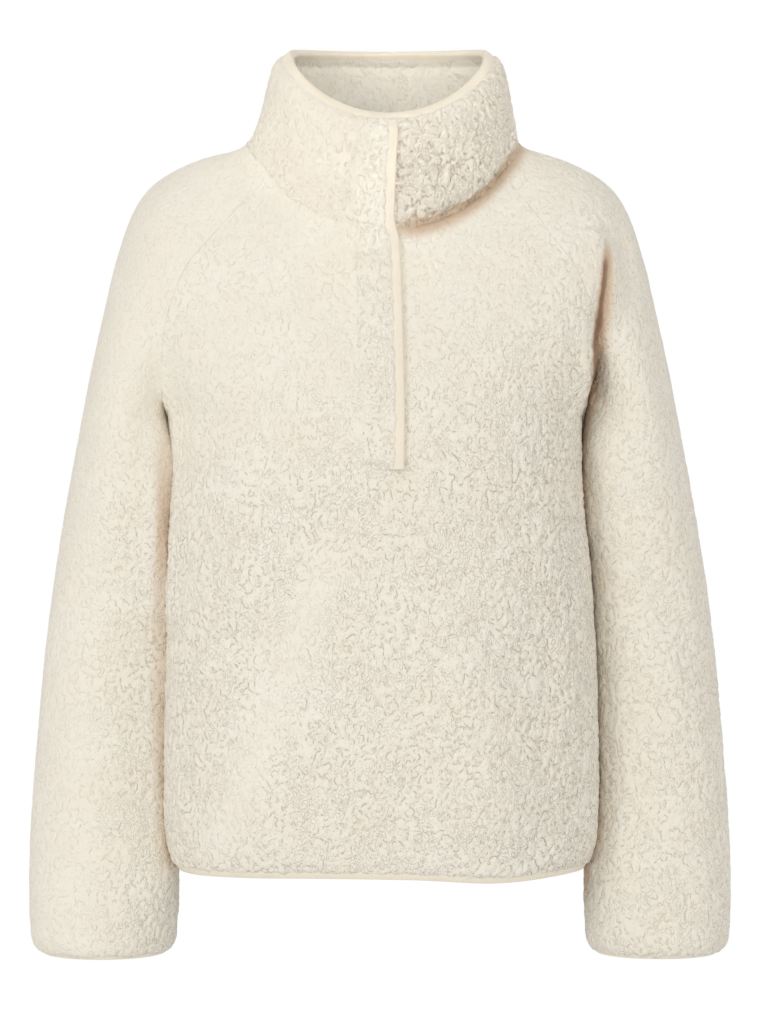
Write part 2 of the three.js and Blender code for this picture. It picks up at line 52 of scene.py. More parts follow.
TAPE_ROOM = 0.4
HEM_TAPE = 7
CUFF_TAPE = 6
COLLAR_TAPE = 9
PLACKET_TAPE = 10.5


def table(columns, *rows):
    return dict(zip(columns.split(), np.array(rows, float).T))


# Body levels from the hem to the underarm
BODY = table(
    "z half seam_y front back square",
    (-628, 176, -10, -110, 102, 2.3),
    (-618, 181, -11, -114, 106, 2.3),
    (-602, 186.5, -13, -119, 111, 2.3),
    (-575, 188.5, -15, -123, 114, 2.3),
    (-530, 188.5, -16, -125, 113, 2.3),
    (-440, 186, -16, -127, 110, 2.3),
    (-350, 181, -12, -129, 109, 2.3),
    (-283, 179, -2, -129, 111, 2.35),
    (-258, 180, 4, -128, 112, 2.4),
    (-235, 183, 18, -127, 113, 2.4),
)
# Middle of each panel above the underarm, by share of the way up the raglan seam
FRONT_RISE = table(
    "share y z turn",
    (0, -127, -235, 90),
    (0.25, -124, -203, 84),
    (0.5, -117, -165, 74),
    (0.75, -107, -122, 64),
    (1, -93, -78, 56),
)
BACK_RISE = table(
    "share y z turn",
    (0, 113, -235, 90),
    (0.25, 115, -186, 82),
    (0.5, 110, -126, 72),
    (0.75, 94, -64, 62),
    (1, 66, -8, 50),
)
# Sleeve levels from the cuff to the underarm
SLEEVE = table(
    "z outer inner y depth",
    (-705, 294, 191, 8, 46),
    (-696, 301.5, 185, 8, 50.5),
    (-681, 305.5, 181.5, 9, 53.5),
    (-650, 306.5, 180.5, 11, 55),
    (-616, 306.5, 182, 15, 57),
    (-580, 305, 184.5, 19, 59),
    (-530, 301.5, 185, 22, 62),
    (-440, 293.5, 183, 24, 67),
    (-350, 281.5, 180.5, 25, 73),
    (-283, 269.5, 180, 23, 78),
    (-258, 264.5, 181, 20.5, 79.5),
    (-235, 260, 183, 18, 80),
)
# Sleeve above the underarm: midway between its two raglan seams, and its line over the shoulder
CAP = table(
    "share x y z depth wrap skew_x skew_z",
    (0, 183, 18, -235, 80, 180, 0, 0),
    (0.2, 186, 12, -221, 80, 156, 0, -2),
    (0.4, 186, 8, -183, 80, 122, 0, -3),
    (0.55, 180, 6, -148, 86, 100, 0, -3),
    (0.7, 165, 5, -110, 96, 79, -1, 0),
    (0.8, 147, 4, -86, 98, 69, -3, 5),
    (0.9, 121, 4, -51, 86, 60, -8, 14),
    (1, 91, 3, -15, 61, 52, -14, 22),
)
SHOULDER = table(
    "share x y z",
    (0, 260, 18, -235),
    (0.2, 251, 16, -190),
    (0.4, 240, 12, -142),
    (0.55, 229, 8, -97),
    (0.7, 213.5, 4, -54),
    (0.8, 195, 2, -30),
    (0.9, 160, 0, -11),
    (1, 112.5, -2, 2),
)
NECK = dict(x=4.5, y=-5, half=112.5, front=88, back=71)
COLLAR_TOP = dict(
    x=6.5, y=0, half=86, front=74, back=74, side_z=83, front_z=22, back_z=96, front_bend=1.35, back_bend=0.5
)
COLLAR_ROLL = table(
    "share swell", (0, 0), (0.18, 4.5), (0.5, 7.5), (0.75, 10), (0.88, 8.5), (0.95, 4), (1, 0)
)
FACING_FROM = 0.08
# The collar slumps over its seam on the wearer's left front: angles round the neck in degrees, where it is
# most by share of the collar's height, and how far it rolls out and down
SLUMP = dict(
    start=-88, full=-66, fading=-50, end=-12, share=0.3, spread=0.2, foot=0.15, out=8, down=8
)
NECK_SHIFT = dict(by=4.5, from_z=-250, to_z=0, near=105, far=165)
SPREAD = dict(left=0.5, right=2.5, fade=4)
# Fullness at the front of each sleeve beside the body
FULL = dict(
    left=table("z by", (-690, 0), (-600, 4), (-400, 5), (-330, 8), (-270, 10), (-235, 0)),
    right=table(
        "z by", (-690, 0), (-630, 9), (-560, 17), (-420, 19), (-365, 17), (-335, 12), (-305, 15), (-275, 17),
        (-235, 0),
    ),
)
FULL_PLACE = dict(left=-0.77, right=-0.87, width=0.15, inward=0.4)
STRIP = table(
    "x lift wall",
    (-26, 0.4, STRIP_WALL),
    (-13, 0.6, STRIP_WALL),
    (-0.5, 2.1, STRIP_WALL),
    (2.5, 2.5, BOUND_WALL),
    (14, 2.5, BOUND_WALL),
)
# Sideways lean of the strip by the height of the front's middle, and its kink where it bends up onto the
# collar
STRIP_LEAN = table("z by", (-283, 3.7), (-235, 4.2), (-190, 2.8), (-140, 0.4), (-100, -2.4), (-78, -5.5))
STRIP_KINK = table("r by", (1.88, 0), (1.97, 0.6), (2.03, -2.6), (2.2, -2.4), (2.5, -1.5), (2.9, 0.3))
STRIP_LEVEL = -283
STRIP_TOP_SHARE = 0.925
# Dimples where the hidden snaps hold the strip down, and puffs between them
STRIP_DIMPLES = table(
    "x z radius depth",
    (-13, -283, 9, 2.0),
    (-3, -250, 8, 2.8),
    (3, -233, 5, 1.8),
    (2, -207, 5, 1.5),
    (-10, -191, 8, 2.0),
    (2, -167, 6, 2.0),
    (-5, -138, 8, 1.8),
    (0, -120, 5, 1.5),
    (-3, -96, 7, 2.0),
    (-12, -40, 8, 2.4),
    (-34, -14, 6, 3.0),
    (-33, 0, 4, 2.0),
    (-3, -23, 6, 1.8),
    (-14, -270, 9, -1.6),
    (-8, -218, 11, -1.6),
    (-7, -152, 10, -1.4),
    (-12, -110, 9, -1.2),
    (-16, -18, 9, -1.8),
)
HEM_WAVE = table("x drop", (-160, 1), (-60, -1), (30, 0), (100, 4), (165, 0))
HEM_WAVE_REACH = dict(from_z=-520, to_z=-628, full_y=-60)

# Crease under the wearer's left arm
ARM_LINE = ((193, -67, -80), (187, -79, -136), (182, -72, -175), (183, -42, -218))
# Folds of the cloth: the points of a line, its spread, and its push at the middle
FOLDS = [
    ((196, -70, -96), (172, -62, -225), 15, (2, -5, 0)),
    ((209, -60, -88), (190, -46, -212), 15, (-2, 13, 0)),
    (*ARM_LINE, 7, (1, 11, 0)),
    ((184, -24, -190), (183, -10, -320), 26, (-6, 0, 0)),
    ((-184, -16, -170), (-183, -20, -390), 31, (-3, -22, 0)),
    ((-45, -122, -330), (-60, -120, -470), 26, (0, 4, 0)),
    ((62, -120, -420), (95, -108, -570), 30, (0, -5, 0)),
    ((128, -88, -440), (140, -78, -585), 24, (-2, 5, 0)),
    ((-120, -95, -480), (-105, -100, -600), 28, (0, -4, 0)),
    ((244, -48, -400), (282, -30, -455), 22, (0, 6, 0)),
    ((-246, -48, -380), (-280, -36, -430), 24, (0, 5, 0)),
    ((-262, 60, -370), (-220, 66, -430), 24, (0, -6, 0)),
    ((262, 62, -360), (222, 66, -420), 24, (0, -6, 0)),
    ((-60, 108, -300), (-40, 108, -520), 34, (0, -6, 0)),
    ((75, 106, -260), (60, 108, -480), 34, (0, -5, 0)),
    ((20, 112, -430), (5, 110, -590), 30, (0, 5, 0)),
]


def row_at(rows, column, value):
    """The row of a table at a value of one column, passing smoothly through the rows listed."""
    at = rows[column]
    value = np.clip(value, at[0], at[-1])
    k = np.clip(np.searchsorted(at, value) - 1, 0, len(at) - 2)
    before, after = np.maximum(k - 1, 0), np.minimum(k + 2, len(at) - 1)
    span = at[k + 1] - at[k]
    t = (value - at[k]) / span
    result = {}
    for name, y in rows.items():
        step = y[k + 1] - y[k]
        leave = (y[k + 1] - y[before]) / (at[k + 1] - at[before]) * span
        arrive = (y[after] - y[k]) / (at[after] - at[k]) * span
        bend, twist = 3 * step - 2 * leave - arrive, leave + arrive - 2 * step
        result[name] = y[k] + t * (leave + t * (bend + t * twist))
    return result


def lerp(a, b, t):
    return a + (b - a) * t


def smooth(value, start, end):
    t = np.clip((value - start) / (end - start), 0, 1)
    return t * t * (3 - 2 * t)


def vectors(x, y, z):
    return np.stack(np.broadcast_arrays(x, y, z), axis=-1).astype(float)


def unit(v):
    return v / np.maximum(np.linalg.norm(v, axis=-1, keepdims=True), 1e-9)


def from_line(p, line):
    """How far each point is from a line through the points listed."""
    gaps = []
    for a, b in zip(np.array(line[:-1], float), np.array(line[1:], float)):
        along = np.clip((p - a) @ (b - a) / ((b - a) @ (b - a)), 0, 1)
        gaps.append(np.linalg.norm(p - a - along[..., None] * (b - a), axis=-1))
    return np.min(gaps, axis=0)


def draped(p):
    """Points of the plain form moved by the folds, the hem's wave and the lean of the neck."""
    moved = p.copy()
    for *line, width, push in FOLDS:
        near = from_line(p, line) / width
        moved += np.exp(-near * near)[..., None] * np.array(push, float)
    x, y, z = p[..., 0], p[..., 1], p[..., 2]
    ahead = np.clip(y / HEM_WAVE_REACH["full_y"], 0, 1)
    low = smooth(-z, -HEM_WAVE_REACH["from_z"], -HEM_WAVE_REACH["to_z"])
    moved[..., 2] -= row_at(HEM_WAVE, "x", x)["drop"] * ahead * low
    near_neck = 1 - smooth(np.abs(x), NECK_SHIFT["near"], NECK_SHIFT["far"])
    moved[..., 0] += NECK_SHIFT["by"] * near_neck * smooth(z, NECK_SHIFT["from_z"], NECK_SHIFT["to_z"])
    return moved


def raglan_end(share, side):
    """End of the front or back raglan seam on the wearer's left."""
    cap = row_at(CAP, "share", share)
    half = cap["depth"] * np.sin(np.radians(cap["wrap"]))
    way = -1 if side == "front" else 1
    return vectors(
        cap["x"] + way * cap["skew_x"] / 2, cap["y"] + way * half, cap["z"] + way * cap["skew_z"] / 2
    )


def panel_section(side, q):
    """Edge, middle, turn and squareness of a panel's section.

    q runs from the hem (0) by the underarm (1) to the neck (2).
    """
    z = lerp(BODY["z"][0], BODY["z"][-1], np.minimum(q, 1))
    body = row_at(BODY, "z", z)
    share = np.maximum(q - 1, 0)
    rise = row_at(FRONT_RISE if side == "front" else BACK_RISE, "share", share)
    low = (q <= 1)[..., None]
    edge = np.where(low, vectors(body["half"], body["seam_y"], z), raglan_end(share, side))
    middle = np.where(low, vectors(0, body[side], z), vectors(0, rise["y"], rise["z"]))
    turn = np.where(q <= 1, math.pi / 2, np.radians(rise["turn"]))
    square = np.where(q <= 1, body["square"], lerp(2.4, 2, share))
    return edge, middle, turn, square


def section_point(section, share):
    edge, middle, turn, square = section
    sine = np.abs(share) ** (square / 2) * np.sin(turn)
    bowed = (np.sqrt(np.maximum(0, 1 - sine * sine)) - np.cos(turn)) / (1 - np.cos(turn))
    bowed = np.maximum(0, bowed) ** (2 / square)
    y, z = (lerp(edge[..., k], middle[..., k], bowed) for k in (1, 2))
    return draped(vectors(edge[..., 0] * share, y, z))


def panel(side):
    way = 1 if side == "front" else -1

    def points(q, u):
        section = panel_section(side, q)
        turn, square = section[2], section[3]
        share = np.sign(u) * (np.sin(turn * np.abs(u)) / np.sin(turn)) ** (2 / square)
        return section_point(section, way * share)

    return points


def sleeve(hand):
    way = 1 if hand == "left" else -1

    def points(q, u):
        ring = row_at(SLEEVE, "z", lerp(SLEEVE["z"][0], SLEEVE["z"][-1], np.minimum(q, 1)))
        outer = ring["outer"] + SPREAD[hand]
        middle, half = (outer + ring["inner"]) / 2, (outer - ring["inner"]) / 2
        low = vectors(
            middle + half * np.cos(np.pi * u),
            ring["y"] + ring["depth"] * np.sin(np.pi * u),
            ring["z"] + 0 * u,
        )
        full = row_at(FULL[hand], "z", ring["z"])["by"]
        full = full * np.exp(-(((u - FULL_PLACE[hand]) / FULL_PLACE["width"]) ** 2))
        low[..., 0] -= full * FULL_PLACE["inward"]
        low[..., 1] -= full
        share = np.maximum(q - 1, 0)
        cap, top = row_at(CAP, "share", share), row_at(SHOULDER, "share", share)
        wrap = np.radians(cap["wrap"])
        across = np.sin(wrap * u)
        up = (np.cos(wrap * u) - np.cos(wrap)) / (1 - np.cos(wrap))
        skew = u / 2
        top_x = top["x"] + SPREAD[hand] * (1 - share ** SPREAD["fade"])
        high = vectors(
            cap["x"] + cap["skew_x"] * skew + (top_x - cap["x"]) * up,
            cap["y"] + cap["depth"] * across + (top["y"] - cap["y"]) * up,
            cap["z"] + cap["skew_z"] * skew + (top["z"] - cap["z"]) * up,
        )
        p = np.where((q <= 1)[..., None], low, high)
        p[..., 0] *= way
        return draped(p if way > 0 else p[:, ::-1])

    return points


def neck_seam(count):
    """The neck's seam from slit to slit round by the wearer's left, and the body's facing and climb there."""
    q = np.array([[1.97], [2.0]])
    full, half = np.linspace(-1, 1, 200)[None], np.linspace(0, 1, 120)[None]
    front, back = panel("front"), panel("back")
    left, right = sleeve("left"), sleeve("right")
    runs = [front(q, half), left(q, full), back(q, full), right(q, full), front(q, half - 1)]
    line = np.concatenate([run[-1] for run in runs])
    facing = np.concatenate([facing_of(run)[-1] for run in runs])
    climb = np.concatenate([unit(run[1] - run[0]) for run in runs])
    run = np.concatenate([[0], np.cumsum(np.linalg.norm(np.diff(line, axis=0), axis=1))])
    at = np.linspace(SEAM_GAP / 2, run[-1] - SEAM_GAP / 2, count + 1)
    return [
        np.stack([np.interp(at, run, v[:, k]) for k in range(3)], axis=-1) for v in (line, facing, climb)
    ]


def collar_point(base, share):
    y = base[..., 1] - NECK["y"]
    deep = np.where(y < 0, NECK["front"], NECK["back"])
    angle = np.arctan2(y / deep, (base[..., 0] - NECK["x"]) / NECK["half"])
    ahead = np.sin(angle) < 0
    bend = np.abs(np.sin(angle)) ** np.where(ahead, COLLAR_TOP["front_bend"], COLLAR_TOP["back_bend"])
    top = vectors(
        COLLAR_TOP["x"] + COLLAR_TOP["half"] * np.cos(angle),
        COLLAR_TOP["y"] + np.where(ahead, COLLAR_TOP["front"], COLLAR_TOP["back"]) * np.sin(angle),
        lerp(COLLAR_TOP["side_z"], np.where(ahead, COLLAR_TOP["front_z"], COLLAR_TOP["back_z"]), bend),
    )
    turn = np.degrees(angle)
    slump = smooth(turn, SLUMP["start"], SLUMP["full"]) * (1 - smooth(turn, SLUMP["fading"], SLUMP["end"]))
    slump = slump * np.exp(-(((share - SLUMP["share"]) / SLUMP["spread"]) ** 2))
    slump = slump * smooth(share, 0, SLUMP["foot"])
    swell = row_at(COLLAR_ROLL, "share", share)["swell"] + SLUMP["out"] * slump
    rolled = vectors(swell * np.cos(angle), swell * np.sin(angle), -SLUMP["down"] * slump)
    return lerp(base, top, share[..., None]) + rolled


def strip_point(r, x):
    """The surface under the placket's strip. r runs up the front to the neck (2) and on up the collar (3)."""
    low = panel_section("front", np.minimum(r, 2))
    lean = row_at(STRIP_LEAN, "z", low[1][..., 2])["by"] + row_at(STRIP_KINK, "r", r)["by"]
    on_front = section_point(low, (x + lean) / low[0][..., 0])
    on_collar = collar_point(on_front, np.maximum(r - 2, 0) + 0 * x)
    return np.where((r <= 2)[..., None], on_front, on_collar)


def even_steps(points, start, stop, count, across=(-1, 1)):
    """Values from start to stop that divide a surface into rows of even depth."""
    fine = np.linspace(start, stop, 500)
    p = points(fine[:, None], np.linspace(*across, 9)[None])
    step = np.linalg.norm(np.diff(p, axis=0), axis=2).mean(axis=1)
    run = np.concatenate([[0], np.cumsum(step)])
    return np.interp(np.linspace(0, run[-1], count + 1), run, fine)


def facing_of(p):
    return unit(np.cross(np.gradient(p, axis=1), np.gradient(p, axis=0)))


def from_edges(p):
    """How far each point of a grid is from its first and last row and from its first and last column."""
    def both(steps, axis):
        run = np.cumsum(steps, axis=axis)
        zero = np.zeros_like(np.take(run, [0], axis=axis))
        first = np.concatenate([zero, run], axis=axis)
        return first, np.take(first, [-1], axis=axis) - first

    rows = both(np.linalg.norm(np.diff(p, axis=0), axis=2), 0)
    columns = both(np.linalg.norm(np.diff(p, axis=1), axis=2), 1)
    return (*rows, *columns)


def cloth_mesh(name, p, facing, wall, nap, openness, painted_shade=0.0, plain_step=4):
    """A closed wall of cloth: a fine outer face, a plainer inner face and a rim between them."""
    rows, columns = p.shape[:2]
    inside = (p - facing * wall[..., None])[::plain_step, ::plain_step]
    low_rows, low_columns = inside.shape[:2]
    count = rows * columns
    outer = np.arange(count).reshape(rows, columns)
    inner = count + np.arange(low_rows * low_columns).reshape(low_rows, low_columns)
    quads = np.stack([outer[:-1, :-1], outer[:-1, 1:], outer[1:, 1:], outer[1:, :-1]], axis=-1)
    backs = np.stack([inner[:-1, :-1], inner[1:, :-1], inner[1:, 1:], inner[:-1, 1:]], axis=-1)
    faces = quads.reshape(-1, 4).tolist() + backs.reshape(-1, 4).tolist()
    smooth_count = len(faces)
    edges = [
        (outer[0], inner[0]),
        (outer[:, -1], inner[:, -1]),
        (outer[-1, ::-1], inner[-1, ::-1]),
        (outer[::-1, 0], inner[::-1, 0]),
    ]
    for fine, plain in edges:
        for k in range(len(plain) - 1):
            fan = fine[k * plain_step:(k + 1) * plain_step + 1][::-1].tolist()
            faces.append(fan + [int(plain[k]), int(plain[k + 1])])
    mesh = bpy.data.meshes.new(name)
    places = np.concatenate([p.reshape(-1, 3), inside.reshape(-1, 3)]) * MM
    mesh.from_pydata(places.tolist(), [], faces)
    rim_count = len(faces) - smooth_count
    mesh.polygons.foreach_set("use_smooth", [True] * smooth_count + [False] * rim_count)
    for attribute, value in (("nap", nap), ("openness", openness), ("painted_shade", painted_shade)):
        values = np.concatenate([np.broadcast_to(value, p.shape[:2]).ravel(), np.zeros(inner.size)])
        mesh.attributes.new(attribute, "FLOAT", "POINT").data.foreach_set("value", values.astype(np.float32))
    ways = np.concatenate([facing.reshape(-1, 3), np.zeros((inner.size, 3))]).astype(np.float32)
    mesh.attributes.new("facing", "FLOAT_VECTOR", "POINT").data.foreach_set("vector", ways.ravel())
    return mesh


class Wire:
    """A node's socket, for use in sums."""

    def __init__(self, tree, socket=None):
        self.tree, self.socket = tree, socket

    def new(self, kind, settings=None, values=None, output=0):
        """A node of a kind, with its settings made first and then the values or wires of its inputs."""
        node = self.tree.nodes.new(kind)
        for name, value in (settings or {}).items():
            setattr(node, name, value)
        for key, value in (values or {}).items():
            if isinstance(value, Wire):
                self.tree.links.new(value.socket, node.inputs[key])
            else:
                node.inputs[key].default_value = value
        return Wire(self.tree, node.outputs[output] if len(node.outputs) else None)

    def math(self, operation, *values):
        return self.new("ShaderNodeMath", {"operation": operation}, dict(enumerate(values)))

    def vector(self, operation, *values, **named):
        output = "Value" if operation in ("LENGTH", "DOT_PRODUCT", "DISTANCE") else "Vector"
        inputs = {**dict(enumerate(values)), **named}
        return self.new("ShaderNodeVectorMath", {"operation": operation}, inputs, output)

    def spread(self, start, end):
        """0 at start, 1 at end, smooth between."""
        settings = {"interpolation_type": "SMOOTHSTEP"}
        return self.new("ShaderNodeMapRange", settings, {"Value": self, "From Min": start, "From Max": end})

    def blend(self, one, two):
        """One colour where this is 0, the other where it is 1."""
        node = self.tree.nodes.new("ShaderNodeMix")
        node.data_type = "RGBA"
        self.tree.links.new(self.socket, node.inputs[0])
        for socket, value in ((node.inputs[6], one), (node.inputs[7], two)):
            if isinstance(value, Wire):
                self.tree.links.new(value.socket, socket)
            else:
                socket.default_value = value
        return Wire(self.tree, node.outputs[2])

    def __add__(self, other):
        return self.math("ADD", self, other)

    def __sub__(self, other):
        return self.math("SUBTRACT", self, other)

    def __rsub__(self, other):
        return self.math("SUBTRACT", other, self)

    def __mul__(self, other):
        return self.math("MULTIPLY", self, other)

    __radd__ = __add__
    __rmul__ = __mul__


# Sizes across the pile: a lock, the smaller curls on it, the short strokes and broad patches that its clefts
# come in, its slow swell, and its finest grain
LOCK = 7.4 * MM
CURL = 3.3 * MM
STROKE = 3.4 * MM
PATCH = 24 * MM
SWELL = 15 * MM
GRAIN = 1.9 * MM


def curls(at):
    """Height of the pile's locks at a place on the cloth, its curls, and its clefts, which are 1 where deep."""
    hanging = at.vector("MULTIPLY", at, (1, 1, 0.8))

    def noise(size, away=0.0, detail=1.0):
        place = at.vector("ADD", hanging, (away, -away, away / 2))
        return at.new("ShaderNodeTexNoise", None, {"Vector": place, "Scale": 1 / size, "Detail": detail})

    def from_crease(size, away, detail):
        return 2 * at.math("ABSOLUTE", noise(size, away, detail) - 0.5)

    locks, small = from_crease(LOCK, 0.0, 1.6), from_crease(CURL, 3.1, 1.2)
    patch, strokes = noise(PATCH, 7.3), noise(STROKE, 1.7)
    lock_share = (0.75 * strokes + 0.25 * patch).spread(0.47, 0.6)
    curl_share = (1 - 0.5 * patch - 0.5 * strokes).spread(0.42, 0.6)
    between = (0.4 + 0.6 * lock_share) * (1 - locks.spread(0.0, 0.3))
    height = 0.4 + 0.7 * noise(SWELL, 5.9) - 0.6 * between
    fine = (0.35 + 0.65 * curl_share) * (1 - small.spread(0.0, 0.3))
    clefts = lock_share * (1 - locks.spread(0.0, 0.09))
    clefts = clefts + 0.5 * curl_share * (1 - small.spread(0.0, 0.1))
    return height, fine, clefts


def make_pile_tree():
    """Raises the pile on the cloth's outer face and keeps where each point was before."""
    tree = bpy.data.node_groups.new("sherpa_pile", "GeometryNodeTree")
    tree.interface.new_socket("Cloth", in_out="INPUT", socket_type="NodeSocketGeometry")
    tree.interface.new_socket("Pile depth", in_out="INPUT", socket_type="NodeSocketFloat")
    tree.interface.new_socket("Material", in_out="INPUT", socket_type="NodeSocketMaterial")
    tree.interface.new_socket("Cloth", in_out="OUTPUT", socket_type="NodeSocketGeometry")
    start = Wire(tree)
    given = tree.nodes.new("NodeGroupInput")
    cloth, depth, material = (Wire(tree, given.outputs[k]) for k in range(3))
    place = start.new("GeometryNodeInputPosition")
    facing = start.new("GeometryNodeInputNamedAttribute", {"data_type": "FLOAT_VECTOR"}, {"Name": "facing"})
    nap, openness = (
        start.new("GeometryNodeInputNamedAttribute", {"data_type": "FLOAT"}, {"Name": name})
        for name in ("nap", "openness")
    )
    height = curls(place)[0]
    store = {"data_type": "FLOAT_VECTOR", "domain": "POINT"}
    kept = {"Geometry": cloth, "Name": "rest", "Value": place}
    cloth = start.new("GeometryNodeStoreNamedAttribute", store, kept)
    offset = start.vector("SCALE", facing, Scale=(height - PILE_LEVEL) * depth * nap * openness)
    cloth = start.new("GeometryNodeSetPosition", None, {"Geometry": cloth, "Offset": offset})
    cloth = start.new("GeometryNodeRealizeInstances", None, {"Geometry": cloth})
    cloth = start.new("GeometryNodeSetMaterial", None, {"Geometry": cloth, "Material": material})
    out = tree.nodes.new("NodeGroupOutput")
    tree.links.new(cloth.socket, out.inputs[0])
    return tree


def material_tree(name):
    material = bpy.data.materials.new(name)
    material.use_nodes = True
    tree = material.node_tree
    tree.nodes.clear()
    shader = tree.nodes.new("ShaderNodeBsdfPrincipled")
    out = tree.nodes.new("ShaderNodeOutputMaterial")
    tree.links.new(shader.outputs[0], out.inputs[0])
    return material, tree, shader


# Colours of the fleece from the tips of its pile down into its folds, where they are painted shade, of its
# knitted back, and of the tape
TIP = (0.85, 0.805, 0.70, 1)
TIP_WARM = (0.84, 0.78, 0.665, 1)
CLEFT_SHADE = (0.60, 0.51, 0.39, 1)
TUCKED_SHADE = (0.62, 0.47, 0.335, 1)
VALLEY_SHADE = (0.80, 0.70, 0.565, 1)
DEEP_SHADE = (0.30, 0.17, 0.10, 1)
BACKING = (0.82, 0.77, 0.67, 1)
BACKING_DARK = (0.76, 0.71, 0.61, 1)
TAPE = (0.88, 0.80, 0.655, 1)
TAPE_DARK = (0.81, 0.73, 0.585, 1)
PILE_LEVEL = 0.55  # height of the pile that lies on the cloth's own face
WORN_PATCH = 45 * MM
KNIT = 9 * MM
TAPE_RIB, TAPE_ROW, TAPE_STAIN = 0.9 * MM, 1.3 * MM, 14 * MM


def make_fleece():
    material, tree, shader = material_tree("cream_fleece")
    start = Wire(tree)
    rest = start.new("ShaderNodeAttribute", {"attribute_name": "rest"}, None, "Vector")
    nap, openness, painted_shade = (
        start.new("ShaderNodeAttribute", {"attribute_name": name}, None, "Fac")
        for name in ("nap", "openness", "painted_shade")
    )
    height, fine, clefts = curls(rest)
    grain = start.new("ShaderNodeTexNoise", None, {"Vector": rest, "Scale": 1 / GRAIN, "Detail": 2.0})
    patch = start.new("ShaderNodeTexNoise", None, {"Vector": rest, "Scale": 1 / WORN_PATCH, "Detail": 1.0})
    worn = (patch + 0.25 * grain).spread(0.35, 0.85)
    # Painted shade: the low parts of the pile turn warmer and darker
    low_shade = (1 - height.spread(0.25, 0.75)) * openness
    tip = (low_shade * 0.3).blend(worn.blend(TIP_WARM, TIP), VALLEY_SHADE)
    # Painted shade where the cloth lies against itself, beside the tape and under the collar, darkest in the
    # deepest gaps
    tip = painted_shade.spread(0.0, 0.7).blend(tip, TUCKED_SHADE)
    tip = painted_shade.spread(0.7, 1.0).blend(tip, DEEP_SHADE)
    height, fine, clefts = (value * openness for value in (height, fine, clefts))
    # Painted shade down in the pile's clefts
    pile = (clefts * 0.48).blend(tip, CLEFT_SHADE)
    bands = {"wave_type": "BANDS", "bands_direction": "Z"}
    knit = start.new("ShaderNodeTexWave", bands, {"Vector": rest, "Scale": 1 / KNIT})
    backing = knit.blend(BACKING_DARK, BACKING)
    on_pile = nap.spread(0.0, 0.06)
    tree.links.new(on_pile.blend(backing, pile).socket, shader.inputs["Base Color"])
    relief = 0.9 * height + (0.3 + 0.35 * openness) * grain - 0.35 * fine - 0.6 * clefts
    bump = start.new("ShaderNodeBump", None, {"Strength": 0.8, "Distance": 1.5 * MM, "Height": relief})
    tree.links.new(bump.socket, shader.inputs["Normal"])
    shader.inputs["Roughness"].default_value = 0.95
    shader.inputs["Specular IOR Level"].default_value = 0.15
    shader.inputs["Sheen Weight"].default_value = 0.25
    shader.inputs["Sheen Roughness"].default_value = 0.6
    shader.inputs["Sheen Tint"].default_value = (1.0, 0.97, 0.9, 1)
    return material


def make_tape():
    material, tree, shader = material_tree("cream_tape")
    start = Wire(tree)
    uv = start.new("ShaderNodeUVMap", {"uv_map": "along"})
    parts = tree.nodes.new("ShaderNodeSeparateXYZ")
    tree.links.new(uv.socket, parts.inputs[0])
    along, across = Wire(tree, parts.outputs[0]), Wire(tree, parts.outputs[1])
    rib = start.math("SINE", along * (2 * math.pi / TAPE_RIB))
    row = start.math("SINE", across * (2 * math.pi / TAPE_ROW))
    weave = rib * row * 0.5 + 0.5
    place = start.new("ShaderNodeTexCoord", None, None, "Object")
    stain = start.new("ShaderNodeTexNoise", None, {"Vector": place, "Scale": 1 / TAPE_STAIN, "Detail": 3.0})
    shade = (weave * 0.35 + stain * 0.65).spread(0.2, 0.75)
    tree.links.new(shade.blend(TAPE_DARK, TAPE).socket, shader.inputs["Base Color"])
    relief = weave * 0.5 + stain
    bump = start.new("ShaderNodeBump", None, {"Strength": 0.35, "Distance": 0.35 * MM, "Height": relief})
    tree.links.new(bump.socket, shader.inputs["Normal"])
    shader.inputs["Roughness"].default_value = 0.7
    shader.inputs["Specular IOR Level"].default_value = 0.3
    shader.inputs["Sheen Weight"].default_value = 0.15
    return material


fleece, tape = make_fleece(), make_tape()
pile_tree = make_pile_tree()
PILE_INPUTS = {
    item.name: item.identifier for item in pile_tree.interface.items_tree if item.in_out == "INPUT"
}


def put(name, mesh):
    piece = bpy.data.objects.new(name, mesh)
    bpy.context.scene.collection.objects.link(piece)
    return piece


def finish_piece(piece, node):
    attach(piece, "root")
    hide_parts(node)


def raise_pile(piece, depth):
    modifier = piece.modifiers.new("pile", "NODES")
    modifier.node_group = pile_tree
    modifier[PILE_INPUTS["Pile depth"]] = depth * MM
    modifier[PILE_INPUTS["Material"]] = fleece
    piece.update_tag()
    shown = piece.evaluated_get(bpy.context.evaluated_depsgraph_get())
    raised = bpy.data.meshes.new_from_object(shown)
    piece.modifiers.remove(modifier)
    plain = piece.data
    piece.data = raised
    bpy.data.meshes.remove(plain)
    raised.name = piece.name
    if not raised.materials:
        raised.materials.append(fleece)


def flat_size(p):
    """Width, length and area of a grid laid flat, in metres."""
    across = np.linalg.norm(np.diff(p, axis=1), axis=2).sum(axis=1).max()
    along = np.linalg.norm(np.diff(p, axis=0), axis=2).sum(axis=0).max()
    d1, d2 = p[1:, 1:] - p[:-1, :-1], p[1:, :-1] - p[:-1, 1:]
    area = np.linalg.norm(np.cross(d1, d2), axis=-1).sum() / 2
    return (across * MM, along * MM), area * MM * MM


# Collar: the outer layer shows outside, the facing shows inside the neck
COLLAR_CELLS, COLLAR_ROWS = 440, 72
COLLAR_TAPER = (10, 26)  # from its top edge, where the wall thickens
base, base_facing, base_climb = neck_seam(COLLAR_CELLS)
shares = np.linspace(0, 1, COLLAR_ROWS + 1)[:, None]
band_base = np.broadcast_to(base, (COLLAR_ROWS + 1, *base.shape))
band = collar_point(band_base, shares + np.zeros(COLLAR_CELLS + 1))
band_facing = facing_of(band)
up, down = from_edges(band)[:2]
collar_wall = lerp(BOUND_WALL, COLLAR_WALL, smooth(down, *COLLAR_TAPER))

